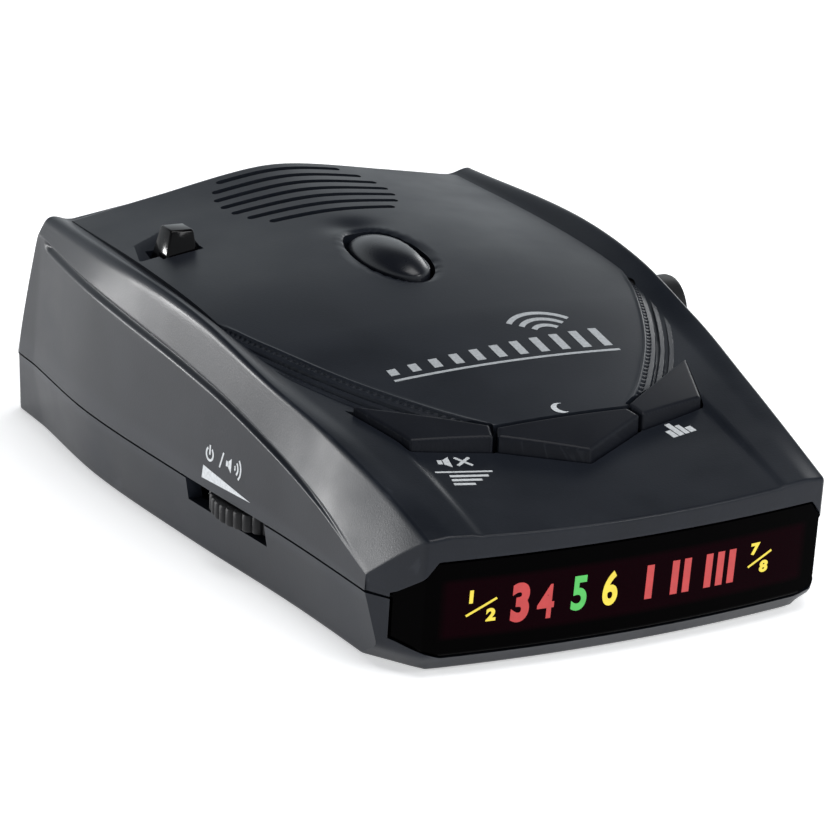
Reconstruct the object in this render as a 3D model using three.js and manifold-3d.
// Radar detector for a car's dashboard or windscreen, as an assembly of separate pieces.
//
// Millimetres, +Z up. The display end faces -Y and the windscreen end faces +Y; +X is to the
// driver's right. The origin is the centre of the bounding box, on the surface it stands on.
// Lengthways places are given as a distance `d` back from the front edge.

import * as THREE from 'three';
import { mergeVertices } from 'three/addons/utils/BufferGeometryUtils.js';
import Module from 'manifold-3d';

// ---------------------------------------------------------------- driving dimensions

const caseLength = 107;
const rearLean = 10.8;
const rearTopZ = 33;
const wall = 2;
const roof = 2.2;
const floor = 2;
const gap = 0.3;
const partingZ = 9.8;

const frontTopZ = 18;
const frontBow = 2.3;
const frontLean = 1.5;
const frontFootLean = 2.4;
const frontFootZ = 2.9;
const frontCornerX = 28;
const frontCornerSlope = 1.9;
const frontCornerTuck = 1.9;
const rearCornerRadius = 2.5;
const wallDraft = Math.tan(THREE.MathUtils.degToRad(4));
const baseTaper = 1.5;

const fieldRadius = 30.5;
const fieldCentreD = 49.1;
const keyThickness = 2.4;
const keyStemZ = 20.5;
const keyStemRadius = 1.4;

const lensHalfWidth = 30.4;
const lensCornerX = 26.5;
const lensLowCornerX = 25.4;
const lensTopZ = 15.3;
const lensBottomZ = 2.4;
const lensSideTopZ = 10.2;
const lensSideLowZ = 4.4;
const lensDepth = 1.8;
const lensRecess = 0.2;
const lensOpeningDepth = 3;
const lensOpeningReach = 4;

const wheel = { x: -24.2, d: 46.4, radius: 11.3, low: 6.9, high: 9.4, ridges: 44, ridgeDepth: 0.35, bore: 1.9 };
const wheelSlot = { from: 36.4, to: 56.4, low: 6.5 };

const release = { d: 68.6, halfWidth: 4.3, halfLength: 9, low: 29.2, edgeZ: 32, topZ: 34.1 };
const sleeve = { halfWidth: 16, from: 66, to: 108.9, low: 17.7, high: 25.1, skin: 1.2 };
const jack = { d: 55.4, z: 24.2, collarRadius: 4.6, boreRadius: 1.75, from: 29, to: 37 };
const speakerSeat = { d: 92.3, radius: 12, low: 25.4, high: 28.4 };
const rearLens = { x: -24.2, halfWidth: 2.7, from: 82.4, to: 87.9, low: 12, topZ: 34.2 };
const boardTopZ = 4;
const boardThickness = 1.4;
const rearPlate = { from: -12, to: 24, laserFrom: -26, laserTo: -14.5, low: 4.2, high: 16.2, depth: 2.7 };

const slots = { count: 7, pitch: 2.9, half: 0.7, spread: 13, centreD: 94.4 };
const mask = { half: 26, windowHalf: 23, low: 3.2, high: 14.6, windowLow: 4.8, windowHigh: 13.2, front: 8.6, back: 9.8 };
const lamp = { count: 8, pitch: 6, width: 3.6, low: 5.6, high: 12.4 };
const label = { half: 18, from: 60, to: 84, depth: 0.4 };

const screwPlaces = [[-27, 17], [27, 17], [-30, 94], [30, 94]];
const screw = { headRadius: 2.6, headLow: 0.6, headHigh: 2.1, shankRadius: 1.2, top: 13 };
const postRadius = 3.4;
const postTopZ = 6;

// ---------------------------------------------------------------- materials

function material(color, roughness, metalness) {
  return new THREE.MeshStandardMaterial({ color, roughness, metalness });
}
const caseBlack = material('#2b2c31', 0.55, 0);
const keyBlack = material('#26272b', 0.5, 0);
const glossBlack = material('#050506', 0.08, 0);
const maskBlack = material('#0b0b0c', 0.7, 0);
const boardGreen = material('#1e5a34', 0.6, 0);
const rubberBlack = material('#17171a', 0.85, 0);
const steel = material('#a8abb0', 0.35, 1);
const castMetal = material('#8f9296', 0.5, 1);
const paperGrey = material('#3a3b3e', 0.8, 0);

// ---------------------------------------------------------------- solids and booleans

const wasm = await Module();
wasm.setup();

function solid(geometry) {
  geometry.deleteAttribute('normal');
  geometry.deleteAttribute('uv');
  const merged = mergeVertices(geometry, 1e-4);
  const index = merged.index.array;
  const kept = [];
  for (let i = 0; i < index.length; i += 3) {
    const [a, b, c] = [index[i], index[i + 1], index[i + 2]];
    if (a !== b && b !== c && c !== a) kept.push(a, b, c);
  }
  return new wasm.Manifold(new wasm.Mesh({
    numProp: 3,
    vertProperties: new Float32Array(merged.attributes.position.array),
    triVerts: new Uint32Array(kept),
  }));
}

function geometryOf(body) {
  const { vertProperties, triVerts } = body.getMesh();
  const geometry = new THREE.BufferGeometry();
  geometry.setAttribute('position', new THREE.BufferAttribute(vertProperties, 3));
  geometry.setIndex(new THREE.BufferAttribute(triVerts, 1));
  const flat = geometry.toNonIndexed();
  flat.computeVertexNormals();
  return flat;
}

const join = (first, ...others) => others.reduce((body, other) => body.add(other), first);
const cut = (first, ...others) => others.reduce((body, other) => body.subtract(other), first);
const common = (first, second) => first.intersect(second);

const at = (d) => d - (caseLength + rearLean) / 2;

function block([x0, x1], [d0, d1], [z0, z1]) {
  const geometry = new THREE.BoxGeometry(x1 - x0, d1 - d0, z1 - z0);
  geometry.translate((x0 + x1) / 2, at((d0 + d1) / 2), (z0 + z1) / 2);
  return solid(geometry);
}

function post(x, d, radius, z0, z1, sides = 20) {
  const geometry = new THREE.CylinderGeometry(radius, radius, z1 - z0, sides);
  geometry.rotateX(Math.PI / 2);
  geometry.translate(x, at(d), (z0 + z1) / 2);
  return solid(geometry);
}

function prism(points, z0, z1) {
  const shape = new THREE.Shape(points.map(([x, d]) => new THREE.Vector2(x, at(d))));
  const geometry = new THREE.ExtrudeGeometry(shape, { depth: z1 - z0, bevelEnabled: false });
  geometry.translate(0, 0, z0);
  return solid(geometry);
}

// A closed body between two surfaces over the same grid; top(u, v) and bottom(u, v) give points.
function slab(rows, columns, top, bottom) {
  const points = [];
  for (const surface of [top, bottom]) {
    for (const u of rows) {
      for (const v of columns) points.push(...surface(u, v));
    }
  }
  const width = columns.length;
  const layer = rows.length * width;
  const index = [];
  const quad = (a, b, c, e) => index.push(a, b, c, a, c, e);
  for (let i = 0; i < rows.length - 1; i++) {
    for (let j = 0; j < width - 1; j++) {
      const a = i * width + j;
      quad(a, a + 1, a + width + 1, a + width);
      quad(layer + a, layer + a + width, layer + a + width + 1, layer + a + 1);
    }
    const left = i * width;
    const right = left + width - 1;
    quad(left, left + width, layer + left + width, layer + left);
    quad(right, layer + right, layer + right + width, right + width);
  }
  const last = (rows.length - 1) * width;
  for (let j = 0; j < width - 1; j++) {
    quad(j, layer + j, layer + j + 1, j + 1);
    quad(last + j, last + j + 1, layer + last + j + 1, layer + last + j);
  }
  const geometry = new THREE.BufferGeometry();
  geometry.setAttribute('position', new THREE.Float32BufferAttribute(points, 3));
  geometry.setIndex(index);
  return solid(geometry);
}

const steps = (from, to, count) => Array.from({ length: count + 1 }, (_, i) => from + (to - from) * i / count);
const mirrored = (values) => [...values.slice(1).reverse().map((value) => -value), ...values];

// ---------------------------------------------------------------- the case's form

// A smooth curve through [distance, value] pairs.
function profile(pairs) {
  const last = pairs.length - 1;
  const slopes = pairs.map((_, i) => {
    const before = pairs[Math.max(i - 1, 0)];
    const after = pairs[Math.min(i + 1, last)];
    return (after[1] - before[1]) / (after[0] - before[0]);
  });
  return (d) => {
    const x = THREE.MathUtils.clamp(d, pairs[0][0], pairs[last][0]);
    const i = Math.min(pairs.findLastIndex((pair) => pair[0] <= x), last - 1);
    const span = pairs[i + 1][0] - pairs[i][0];
    const t = (x - pairs[i][0]) / span;
    const start = pairs[i][1] * (1 + 2 * t) * (1 - t) ** 2 + slopes[i] * span * t * (1 - t) ** 2;
    return start + pairs[i + 1][1] * t * t * (3 - 2 * t) + slopes[i + 1] * span * t * t * (t - 1);
  };
}

const partingHalfWidth = profile([[0, 32], [30, 33.2], [58, 35.6], [85, 37.1], [107, 35.9]]);
const creaseZ = profile([[0, 9.9], [10.4, 11.9], [23, 16.4], [37, 20.2], [53, 23.6], [80, 26.5], [107, 28]]);
const edgeHalfWidth = profile([[0, 28], [12, 28.8], [26, 30.2], [41, 32.1], [77, 34.2], [107, 33.3]]);
const edgeZ = profile([[0, 17.6], [12.5, 21.4], [26.4, 24.8], [41, 27.7], [58, 31], [77, 32.2], [107, 31]]);
const apronZ = profile([[0, 18.1], [13, 21.3], [31, 24.6], [58, 28.9], [80, 31.6], [107, 34]]);
const apronRise = profile([[0, 0.1], [13, 0.3], [25, 0.8], [40, 0.6], [58, 0.1], [80, -1.5], [107, -4]]);
const fieldZ = profile([[18.6, 24.5], [27, 26.1], [37, 28.05], [49, 30.2], [68, 32.5], [107, 35.5]]);
const fieldCrown = profile([[20, 1.85], [58, 1.85], [80, 2.9], [107, 5.2]]);
const keyZ = profile([[12, 22.47], [20, 24.75], [31, 27.4]]);
const keyCrown = 1.85;
const archHalfWidth = profile([[20.3, 9.7], [26.5, 15], [37, 21.9], [49.6, 27.7], [57.8, 30.3]]);

const crownWidth = 30;
const railStart = 0.88;
const ridge = { roundness: 6, from: 60, to: 100 };

// How much of the crown has fallen away at x: a plain bow in front, a soft ridge at the rear.
function crownShare(x, d) {
  const bow = (x / crownWidth) ** 2;
  const { roundness, from, to } = ridge;
  const roof = (Math.hypot(x, roundness) - roundness) / (Math.hypot(crownWidth, roundness) - roundness);
  return bow + (roof - bow) * THREE.MathUtils.smoothstep(d, from, to);
}

function apronHeight(x, d) {
  return apronZ(d) + apronRise(d) * crownShare(x, d);
}

function fieldHeight(x, d) {
  return fieldZ(d) - fieldCrown(d) * crownShare(x, d);
}

function keyHeight(x, d) {
  return keyZ(d) - keyCrown * (x / crownWidth) ** 2;
}

// Half the width of the whole raised part, out to the foot of the slope beside the arch.
function footHalfWidth(d) {
  const ahead = Math.max(fieldCentreD - d, 0);
  return Math.max(Math.sqrt(Math.max(fieldRadius ** 2 - ahead ** 2, 0)), archHalfWidth(d));
}

// How far a level lies down the foot of the front, where it slopes in to the base.
function footShare(z) {
  return Math.max(frontFootZ - z, 0) / frontFootZ;
}

// The plan line of the front: a bow across the middle, then corners that fall away to the sides.
function frontLine(x, z) {
  const cornerX = frontCornerX - frontCornerTuck * footShare(z);
  const reach = Math.min(Math.abs(x), cornerX);
  const bow = frontBow * (reach / frontCornerX) ** 2;
  const corner = frontCornerSlope * Math.max(Math.abs(x) - cornerX, 0);
  const lean = frontLean * Math.max(frontTopZ - z, 0) / frontTopZ + frontFootLean * footShare(z);
  return bow + corner + lean;
}

// The windscreen end leans with the glass, so that the base reaches further than the top.
function rearFace(z) {
  return caseLength + rearLean * Math.max(rearTopZ - z, 0) / rearTopZ;
}

// The plan line of the windscreen end at a level, with rounded corners.
function rearLine(x, z, halfWidth) {
  const over = Math.max(Math.abs(x) - (halfWidth - rearCornerRadius), 0);
  return rearFace(z) - rearCornerRadius + Math.sqrt(Math.max(rearCornerRadius ** 2 - over ** 2, 0));
}

// Across the section: 0 is the centre line, 0.8 the top's edge, 0.9 the crease, 1 the parting line.
function sectionPoint(d, s) {
  const side = Math.sign(s);
  const along = Math.abs(s);
  const edge = [edgeHalfWidth(d), edgeZ(d)];
  const crease = [partingHalfWidth(d) - (creaseZ(d) - partingZ) * wallDraft, creaseZ(d)];
  const base = [partingHalfWidth(d), partingZ];
  const between = (p, q, t) => [side * (p[0] + (q[0] - p[0]) * t), p[1] + (q[1] - p[1]) * t];
  if (along > 0.9) return between(crease, base, (along - 0.9) / 0.1);
  if (along > 0.8) return between(edge, crease, (along - 0.8) / 0.1);
  const q = along / 0.8;
  const x = side * q * edge[0];
  const blend = THREE.MathUtils.smoothstep(q, railStart, 1);
  return [x, apronHeight(x, d) * (1 - blend) + edge[1] * blend];
}

// A point of the upper skin at u along the length and s across it, set in by the given amounts.
function skinPoint(u, s, sideInset, roofInset, endInset) {
  const rough = sectionPoint(u * caseLength, s);
  const halfWidth = partingHalfWidth(u * caseLength);
  const front = frontLine(rough[0], rough[1]) + endInset;
  const rear = rearLine(rough[0], rough[1], halfWidth) - endInset;
  const d = front + (rear - front) * u;
  const [x, z] = sectionPoint(d, s);
  const squeeze = 1 - sideInset / halfWidth;
  return [x * squeeze, at(d), z - roofInset];
}

const acrossFine = mirrored([0, 0.2, 0.4, 0.56, 0.7, 0.74, 0.8, 0.9, 1]);
const acrossCoarse = mirrored([0, 0.4, 0.7, 0.8, 0.9, 1]);
const alongFine = [0, ...steps(0.04, 0.94, 15), 0.97, 1];
const alongCoarse = steps(0, 1, 9);

// The same point dropped to a level, following the lean of both ends.
function dropTo(level, u, [x, y, z]) {
  const front = frontLine(x, level) - frontLine(x, z);
  const rear = rearFace(level) - rearFace(z);
  return [x, y + front * (1 - u) + rear * u, level];
}

// ---------------------------------------------------------------- outlines seen from above

function counterClockwise(points) {
  const area = points.reduce((sum, [x, d], i) => {
    const [nextX, nextD] = points[(i + 1) % points.length];
    return sum + x * nextD - nextX * d;
  }, 0);
  return area > 0 ? points : [...points].reverse();
}

// An outline grown by the same amount all round, with its corners kept sharp.
function grown(points, amount) {
  const ring = counterClockwise(points);
  return ring.map(([x, d], i) => {
    const [lastX, lastD] = ring.at(i - 1);
    const [nextX, nextD] = ring[(i + 1) % ring.length];
    const before = new THREE.Vector2(d - lastD, lastX - x).normalize();
    const after = new THREE.Vector2(nextD - d, x - nextX).normalize();
    const share = amount / (1 + before.dot(after));
    return [x + (before.x + after.x) * share, d + (before.y + after.y) * share];
  });
}

const keyBackD = 20.2;
const centreKey = [[-9.4, keyBackD], [9.4, keyBackD], [10.2, 18.3], [0, 12.8], [-10.2, 18.3]];

function sideKey(side) {
  return [[10, 20.9], [24.3, 30.7], [21, 21.1], [10.8, 18.4]].map(([x, d]) => [side * x, d]);
}

function footOutline() {
  const right = steps(keyBackD, fieldCentreD, 12).map((d) => [footHalfWidth(d), d]);
  const left = right.map(([x, d]) => [-x, d]).reverse();
  return [...right, [fieldRadius, 110], [-fieldRadius, 110], ...left];
}

function ellipseOutline(halfWidth, halfLength, d, count) {
  return steps(0, 2 * Math.PI, count).slice(0, -1)
    .map((angle) => [halfWidth * Math.cos(angle), d + halfLength * Math.sin(angle)]);
}

const column = (outline, z0, z1) => prism(counterClockwise(outline), z0, z1);

// ---------------------------------------------------------------- the two halves of the case

// The window's upper and lower edges, which slope towards its sides.
function lensEdge(x, cornerX, middleZ, sideZ) {
  const t = THREE.MathUtils.clamp((Math.abs(x) - cornerX) / (lensHalfWidth - cornerX), 0, 1);
  return middleZ + (sideZ - middleZ) * t;
}

// The window's body from one depth to another, or with some clearance the opening it sits in.
function lensBand(clearance, near, far) {
  const cornerX = frontCornerX - clearance;
  const columns = mirrored([0, 8, 16, 22, lensLowCornerX, lensCornerX, cornerX, lensHalfWidth + clearance]);
  const point = (u, x, z) => [x, at(frontLine(x, z) + u), z];
  return slab([near, far], columns,
    (u, x) => point(u, x, lensEdge(x, lensCornerX, lensTopZ, lensSideTopZ) + clearance),
    (u, x) => point(u, x, lensEdge(x, lensLowCornerX, lensBottomZ, lensSideLowZ) - clearance));
}

const lensOpening = () => lensBand(gap, -lensOpeningReach, lensOpeningDepth);

const pastRear = [100, 125];

function bracketOpening() {
  const { halfWidth, low, high } = sleeve;
  return block([-halfWidth - gap, halfWidth + gap], pastRear, [low - gap, high + gap]);
}

function rearOpenings() {
  const { from, to, laserFrom, laserTo, low, high } = rearPlate;
  const level = [low - gap, high + gap];
  return [[from, to], [laserFrom, laserTo]].map(([x0, x1]) => block([x0 - gap, x1 + gap], pastRear, level));
}

const aboveSpeaker = [26, 40];
const throughTop = [15, 40];

function speakerSlots() {
  const { count, pitch, half, spread, centreD } = slots;
  const last = (count - 1) / 2;
  return steps(-last, last, count - 1).map((k) => {
    const reach = Math.sqrt(spread ** 2 - (k * pitch) ** 2);
    const d = centreD + k * pitch;
    return block([-reach, reach], [d - half, d + half], aboveSpeaker);
  });
}

function jackCylinder(radius, x0, x1) {
  const geometry = new THREE.CylinderGeometry(radius, radius, x1 - x0, 24);
  geometry.rotateZ(Math.PI / 2);
  geometry.translate((x0 + x1) / 2, at(jack.d), jack.z);
  return solid(geometry);
}

// The raised field: level across to the arch, then a slope down to its foot.
function fieldPoint(d, v, drop) {
  const along = Math.abs(v);
  const arch = archHalfWidth(d);
  const slope = Math.max(along - 1, 0);
  const x = Math.sign(v) * (Math.min(along, 1) * arch + slope * (footHalfWidth(d) - arch));
  const z = fieldHeight(x, d) * (1 - slope) + (apronHeight(x, d) - footSink) * slope;
  return [x, at(d), z - drop];
}

const footSink = 0.1;
const underField = 3;

function raisedField() {
  const across = mirrored([0, 0.25, 0.5, 0.75, 1, 2]);
  const along = [keyBackD, ...steps(22, 58, 12), ...steps(64, 105, 6)];
  return slab(along, across,
    (d, v) => fieldPoint(d, v, 0),
    (d, v) => fieldPoint(d, v, underField));
}

const groove = { count: 4, pitch: 1.2, start: 0.15, width: 0.6, depth: 0.4 };

// A point beside the arch, set out from it squarely.
function besideArch(d, out) {
  const lean = archHalfWidth(d + 0.5) - archHalfWidth(d - 0.5);
  const size = Math.hypot(1, lean);
  return [archHalfWidth(d) + out / size, d - out * lean / size];
}

// The concentric grooves in the two slopes beside the arch.
function grooves() {
  const across = mirrored([0, 1, 2]);
  const cutter = slab(steps(keyBackD, 58, 12), across,
    (d, v) => fieldPoint(d, v, -4),
    (d, v) => fieldPoint(d, v, groove.depth));
  const lines = steps(0, groove.count - 1, groove.count - 1).map((k) => {
    const out = groove.start + k * groove.pitch;
    const inner = steps(22, 55, 8).map((d) => besideArch(d, out));
    const outer = steps(55, 22, 8).map((d) => besideArch(d, out + groove.width));
    return [...inner, ...outer];
  });
  const sides = [1, -1].flatMap((side) => lines.map((line) => line.map(([x, d]) => [side * x, d])));
  return sides.map((line) => common(cutter, column(line, ...throughTop)));
}

function topCover() {
  const outer = slab(alongFine, acrossFine,
    (u, s) => skinPoint(u, s, 0, 0, 0),
    (u, s) => dropTo(partingZ, u, skinPoint(u, s, 0, 0, 0)));
  const cavity = slab(alongCoarse, acrossCoarse,
    (u, s) => skinPoint(u, s, wall, roof, wall),
    (u, s) => dropTo(partingZ - 2 * roof, u, skinPoint(u, s, wall, roof, wall)));
  const shell = cut(join(outer, raisedField()), cavity);
  const bosses = screwPlaces.map(([x, d]) => common(post(x, d, postRadius, postTopZ + gap, 40), outer));
  const pilots = screwPlaces.map(([x, d]) => post(x, d, screw.shankRadius + gap, 0, 14));
  const lensPocket = block(
    [rearLens.x - 4.8, rearLens.x + rearLens.halfWidth + gap],
    [rearLens.from + 1.2, rearLens.to + 4.6], [29.8, 40]);
  const lensHole = block(
    [rearLens.x - rearLens.halfWidth - gap, rearLens.x + rearLens.halfWidth + gap],
    [rearLens.from - gap, rearLens.to + gap], [20, 40]);
  return cut(join(shell, ...bosses), ...pilots,
    lensOpening(),
    ...[centreKey, sideKey(-1), sideKey(1)].map((key) => column(grown(key, gap), ...throughTop)),
    ...grooves(),
    column(ellipseOutline(release.halfWidth + gap, release.halfLength + gap, release.d, 32), 25, 40),
    lensPocket, lensHole,
    ...speakerSlots(),
    jackCylinder(jack.collarRadius + gap, 26, 45),
    bracketOpening(),
    ...rearOpenings());
}

function traySurface(u, v, z, sideInset, endInset) {
  const taper = baseTaper * (partingZ - z) / partingZ;
  const halfAt = (d) => partingHalfWidth(d) - taper - sideInset;
  const roughX = v * halfAt(u * caseLength);
  const front = frontLine(roughX, z) + endInset;
  const rear = rearLine(roughX, z, halfAt(u * caseLength)) - endInset;
  const d = front + (rear - front) * u;
  return [v * halfAt(d), at(d), z];
}

function bottomCase() {
  const rim = partingZ - gap;
  const across = mirrored([0, 0.4, 0.76, 0.88, 0.94, 1]);
  const layer = (high, low) => slab(alongFine, across,
    (u, v) => traySurface(u, v, high, 0, 0),
    (u, v) => traySurface(u, v, low, 0, 0));
  const outer = join(layer(rim, frontFootZ), layer(frontFootZ, 0));
  const hollow = slab(alongCoarse, mirrored([0, 0.5, 0.9, 1]),
    (u, v) => traySurface(u, v, rim + wall, wall, wall),
    (u, v) => traySurface(u, v, floor, wall, wall));
  const posts = screwPlaces.map(([x, d]) => post(x, d, postRadius + 0.4, 0.5, postTopZ));
  const headPockets = screwPlaces.map(([x, d]) => post(x, d, screw.headRadius + gap, -1, screw.headHigh + gap));
  const shankHoles = screwPlaces.map(([x, d]) => post(x, d, screw.shankRadius + gap, 0, 10));
  const pads = [[-20, 26], [20, 26], [-20, 58], [20, 58]]
    .map(([x, d]) => post(x, d, 2.5, 1, boardTopZ - boardThickness - gap));
  const slot = block([-45, wheel.x], [wheelSlot.from, wheelSlot.to], [wheelSlot.low, 12]);
  const labelRecess = block([-label.half, label.half], [label.from, label.to], [-1, label.depth]);
  return cut(join(cut(outer, hollow), ...posts, ...pads), ...headPockets, ...shankHoles,
    lensOpening(), slot, labelRecess, ...rearOpenings());
}

// ---------------------------------------------------------------- display

function displayLens() {
  return lensBand(0, lensRecess, lensDepth);
}

function displayMask() {
  const { half, windowHalf, low, high, windowLow, windowHigh, front, back } = mask;
  const plate = block([-half, half], [front, back], [low, high]);
  return cut(plate, block([-windowHalf, windowHalf], [front - 1, back + 1], [windowLow, windowHigh]));
}

function displayBoard() {
  const board = block([1 - mask.half, mask.half - 1], [12, 13.2], [mask.low, mask.high]);
  const { count, pitch, width, low, high } = lamp;
  const last = (count - 1) / 2;
  const lamps = steps(-last, last, count - 1).map((k) => {
    const x = k * pitch;
    return block([x - width / 2, x + width / 2], [10.2, 12.5], [low, high]);
  });
  return join(board, ...lamps);
}

// ---------------------------------------------------------------- keys

function keyCap(outline, stemX, stemD) {
  const body = slab(steps(10, 34, 6), steps(-27, 27, 10),
    (d, x) => [x, at(d), keyHeight(x, d)],
    (d, x) => [x, at(d), keyHeight(x, d) - keyThickness]);
  const cap = common(body, column(outline, ...throughTop));
  return join(cap, post(stemX, stemD, keyStemRadius, keyStemZ, apronHeight(stemX, stemD)));
}

const keySwitches = { quiet: [-17, 21.8], dark: [0, 16.8], city: [17, 21.8] };

function tactSwitch([x, d]) {
  const half = 2.6;
  const base = block([x - half, x + half], [d - half, d + half], [16.8, 18.6]);
  return join(base, post(x, d, 1.4, 18.4, keyStemZ - 1, 16));
}

// ---------------------------------------------------------------- volume wheel

function volumeWheel() {
  const points = steps(0, 2 * Math.PI, wheel.ridges * 2).slice(0, -1).map((angle, i) => {
    const radius = wheel.radius - (i % 2) * wheel.ridgeDepth;
    return [wheel.x + radius * Math.cos(angle), wheel.d + radius * Math.sin(angle)];
  });
  const disc = prism(points, wheel.low, wheel.high);
  return cut(disc, post(wheel.x, wheel.d, wheel.bore, 0, 20));
}

function volumePot() {
  const can = post(wheel.x, wheel.d, 5, boardTopZ + gap, wheel.low - gap, 24);
  return join(can, post(wheel.x, wheel.d, wheel.bore - gap, 5, wheel.high - 0.4, 16));
}

// ---------------------------------------------------------------- bracket slot and release

function bracketSleeve() {
  const { halfWidth, from, to, low, high, skin } = sleeve;
  const tube = block([-halfWidth, halfWidth], [from, to], [low, high]);
  const passage = block([-halfWidth + skin + 0.2, halfWidth - skin - 0.2], [from + 1.4, to + 5], [low + skin, high - skin]);
  const hookWindow = block([-3.6, 3.6], [from + 4.4, from + 8.6], [low - 1, low + skin + 0.5]);
  return cut(tube, passage, hookWindow);
}

function releaseButton() {
  const { halfWidth, halfLength, low, edgeZ: shoulder, topZ } = release;
  const dome = steps(0, 1, 5).map((t) => {
    const angle = (1 - t) * Math.PI / 2;
    return new THREE.Vector2(Math.cos(angle), shoulder + (topZ - shoulder) * Math.sin(angle));
  });
  dome[0].x = 0;
  const outline = [...dome, new THREE.Vector2(1, low), new THREE.Vector2(0, low)].reverse();
  const geometry = new THREE.LatheGeometry(outline, 32);
  geometry.rotateX(Math.PI / 2);
  geometry.scale(halfWidth, halfLength, 1);
  geometry.translate(0, at(release.d), 0);
  return solid(geometry);
}

const latchTopZ = release.low - gap;
const latchFootZ = [15.9, 17.2];

function releaseLatch() {
  const across = [-2.8, 2.8];
  const arm = block(across, [62.2, 64.4], [latchFootZ[0], latchTopZ]);
  const foot = block(across, [62.2, 75.6], latchFootZ);
  const hook = block(across, [71, 74], [latchFootZ[1] - 0.5, sleeve.low + sleeve.skin + 0.7]);
  return join(arm, foot, hook);
}

const spring = { d: 73.5, radius: 2.1, wire: 0.3, turns: 2.5, low: 25.7, high: 28.6 };

function releaseSpring() {
  class Coil extends THREE.Curve {
    getPoint(t, target = new THREE.Vector3()) {
      const angle = 2 * Math.PI * spring.turns * t;
      const z = spring.low + (spring.high - spring.low) * t;
      return target.set(spring.radius * Math.cos(angle), at(spring.d) + spring.radius * Math.sin(angle), z);
    }
  }
  const section = new THREE.Shape(steps(0, 2 * Math.PI, 6).slice(0, -1)
    .map((angle) => new THREE.Vector2(spring.wire * Math.cos(angle), spring.wire * Math.sin(angle))));
  return solid(new THREE.ExtrudeGeometry(section, { steps: 36, extrudePath: new Coil() }));
}

// ---------------------------------------------------------------- boards and receivers

function mainBoard() {
  const board = block([-28, 28], [23, 60], [boardTopZ - boardThickness, boardTopZ]);
  const chips = [[14, 52, 5], [2, 50, 3], [-8, 55, 2.4], [-6, 29, 2], [24.5, 30, 2.2]]
    .map(([x, d, half]) => block([x - half, x + half], [d - half, d + half], [boardTopZ - 0.5, boardTopZ + 1.6]));
  const capacitors = [[24, 40], [24, 47]].map(([x, d]) => post(x, d, 2.4, boardTopZ - 0.5, boardTopZ + 6));
  return join(board, ...chips, ...capacitors);
}

function shieldCan() {
  return block([0, 18], [26, 43], [boardTopZ + gap, boardTopZ + 4]);
}

function buttonBoard() {
  return block([-23, 23], [13.8, 31], [15.3, 16.5]);
}

function radarHorn() {
  const centreX = 6;
  const ends = { from: 66, to: 108.2, halfFrom: 9, halfTo: 16.5, lowFrom: 4, lowTo: 3.4, highFrom: 12, highTo: 16 };
  const horn = (inset, reach) => slab([0, 1], [-1, 1],
    (u, v) => hornPoint(u, v, true, inset, reach),
    (u, v) => hornPoint(u, v, false, inset, reach));
  const hornPoint = (u, v, isTop, inset, reach) => {
    const half = ends.halfFrom + (ends.halfTo - ends.halfFrom) * u - inset;
    const low = ends.lowFrom + (ends.lowTo - ends.lowFrom) * u + inset;
    const high = ends.highFrom + (ends.highTo - ends.highFrom) * u - inset;
    const d = u ? ends.to + reach : ends.from + inset;
    return [centreX + v * half, at(d), isTop ? high : low];
  };
  return cut(horn(0, 0), horn(1.3, 1));
}

function mixerBoard() {
  return block([-2, 14], [64.2, 65.4], [3.4, 13.4]);
}

// A plate that lies in the leaning windscreen end, just below its surface.
function leaningPlate(x0, x1) {
  const { low, high, depth } = rearPlate;
  const point = (inset) => (z, x) => [x, at(rearFace(z) - inset), z];
  return slab([low, high], [x0, x1], point(depth), point(lensRecess));
}

function rearWindow() {
  return leaningPlate(rearPlate.from, rearPlate.to);
}

// The forward laser window has a collecting lens on its inner face.
function frontLaserLens() {
  const { laserFrom, laserTo, low, high, depth } = rearPlate;
  const middleX = (laserFrom + laserTo) / 2;
  const middleZ = (low + high) / 2;
  const radius = 4.8;
  const bulge = new THREE.SphereGeometry(radius, 20, 12);
  bulge.scale(1, 0.75, 1);
  bulge.translate(middleX, at(rearFace(middleZ) - depth + 0.4), middleZ);
  const inside = leaningPlate(laserFrom, laserTo).translate([0, -depth + 0.5, 0]);
  return join(leaningPlate(laserFrom, laserTo), common(solid(bulge), inside));
}

function rearLaserLens() {
  const { x, halfWidth, from, to, low, topZ } = rearLens;
  const head = block([x - halfWidth, x + halfWidth], [from, to], [28, topZ]);
  const stem = block([x - 1.6, x + 1.6], [from + 1, to - 1], [low, 29]);
  const slope = new THREE.BoxGeometry(12, 4, 12);
  slope.rotateX(THREE.MathUtils.degToRad(-24));
  slope.translate(x, at(from - 2.7), topZ - 1);
  return cut(join(head, stem), solid(slope));
}

function laserBoard() {
  return block([-25.6, -13.6], [78, 99], [6, 7.2]);
}

function laserSensor() {
  return join(block([-22.7, -17.7], [91, 95], [7.5, 12.6]), post(-20.2, 93, 1.5, 12.2, 14, 16));
}

function speaker() {
  const { d, radius, low, high } = speakerSeat;
  const basket = post(0, d, radius, high - 1.6, high, 32);
  const frame = post(0, d, radius - 2.4, low + 0.6, high - 1, 32);
  const cone = new THREE.ConeGeometry(radius - 2.2, 2.4, 32);
  cone.rotateX(-Math.PI / 2);
  cone.translate(0, at(d), high - 1);
  return cut(join(basket, frame, post(0, d, 5, low, low + 2, 24)), solid(cone));
}

const gasketTop = 0.9;

function speakerGasket() {
  const { d, radius, high } = speakerSeat;
  return cut(post(0, d, radius, high + gap, high + gasketTop, 32), post(0, d, radius - 2.2, high, high + 2, 32));
}

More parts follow.
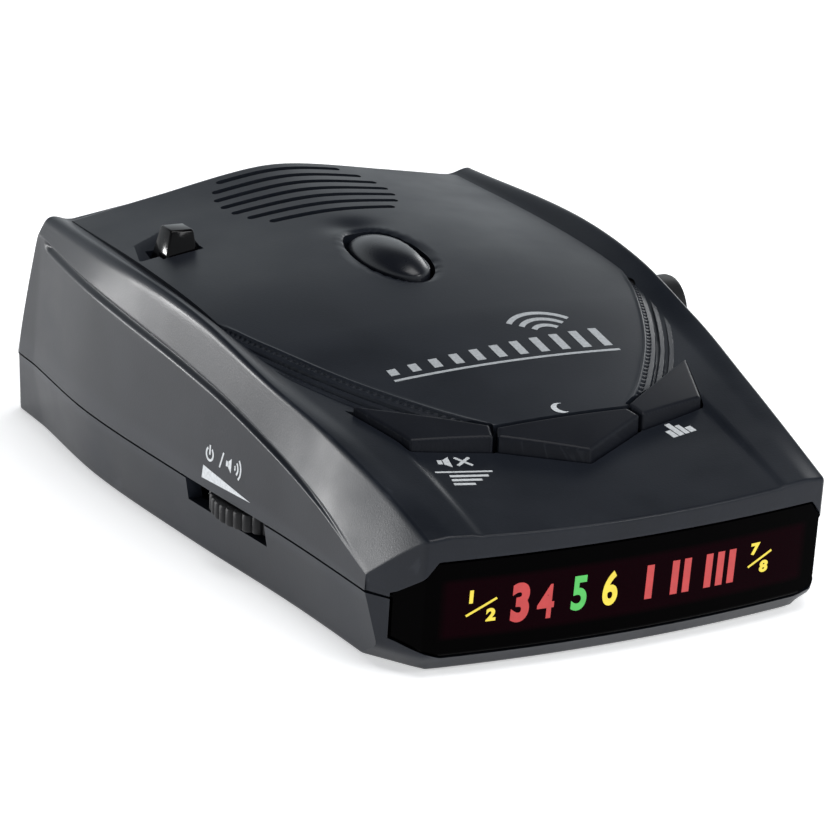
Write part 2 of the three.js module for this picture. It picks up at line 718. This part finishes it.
function powerJack() {
  const body = block([20, 30], [jack.d - 4.2, jack.d + 4.2], [jack.z - 4.2, jack.z + 0.8]);
  const collar = jackCylinder(jack.collarRadius, jack.from, jack.to);
  return cut(join(body, collar), jackCylinder(jack.boreRadius, 25, jack.to + 2));
}

function caseScrew([x, d]) {
  const head = post(x, d, screw.headRadius, screw.headLow, screw.headHigh, 20);
  const shank = post(x, d, screw.shankRadius, screw.headHigh - 0.5, screw.top, 12);
  const recess = [[1.5, 0.35], [0.35, 1.5]]
    .map(([halfX, halfD]) => block([x - halfX, x + halfX], [d - halfD, d + halfD], [0, 1.2]));
  return cut(join(head, shank), ...recess);
}

// ---------------------------------------------------------------- assembly

const detector = new THREE.Group();

function add(name, body, look) {
  const mesh = new THREE.Mesh(geometryOf(body), look);
  mesh.name = name;
  detector.add(mesh);
}

add('top_cover', topCover(), caseBlack);
add('bottom_case', bottomCase(), caseBlack);
add('display_lens', displayLens(), glossBlack);
add('display_mask', displayMask(), maskBlack);
add('display_board', displayBoard(), boardGreen);
add('quiet_button', keyCap(sideKey(-1), ...keySwitches.quiet), keyBlack);
add('dark_button', keyCap(centreKey, ...keySwitches.dark), keyBlack);
add('city_button', keyCap(sideKey(1), ...keySwitches.city), keyBlack);
for (const [key, place] of Object.entries(keySwitches)) {
  add(`${key}_switch`, tactSwitch(place), maskBlack);
}
add('button_board', buttonBoard(), boardGreen);
add('main_board', mainBoard(), boardGreen);
add('shield_can', shieldCan(), steel);
add('volume_wheel', volumeWheel(), rubberBlack);
add('volume_pot', volumePot(), maskBlack);
add('bracket_sleeve', bracketSleeve(), caseBlack);
add('release_button', releaseButton(), keyBlack);
add('release_latch', releaseLatch(), keyBlack);
add('release_spring', releaseSpring(), steel);
add('speaker', speaker(), paperGrey);
add('speaker_gasket', speakerGasket(), rubberBlack);
add('radar_horn', radarHorn(), castMetal);
add('mixer_board', mixerBoard(), boardGreen);
add('rear_window', rearWindow(), glossBlack);
add('front_laser_lens', frontLaserLens(), glossBlack);
add('rear_laser_lens', rearLaserLens(), glossBlack);
add('laser_board', laserBoard(), boardGreen);
add('laser_sensor', laserSensor(), maskBlack);
add('power_jack', powerJack(), maskBlack);
screwPlaces.forEach((place, i) => add(`case_screw_${i + 1}`, caseScrew(place), steel));

export default detector;
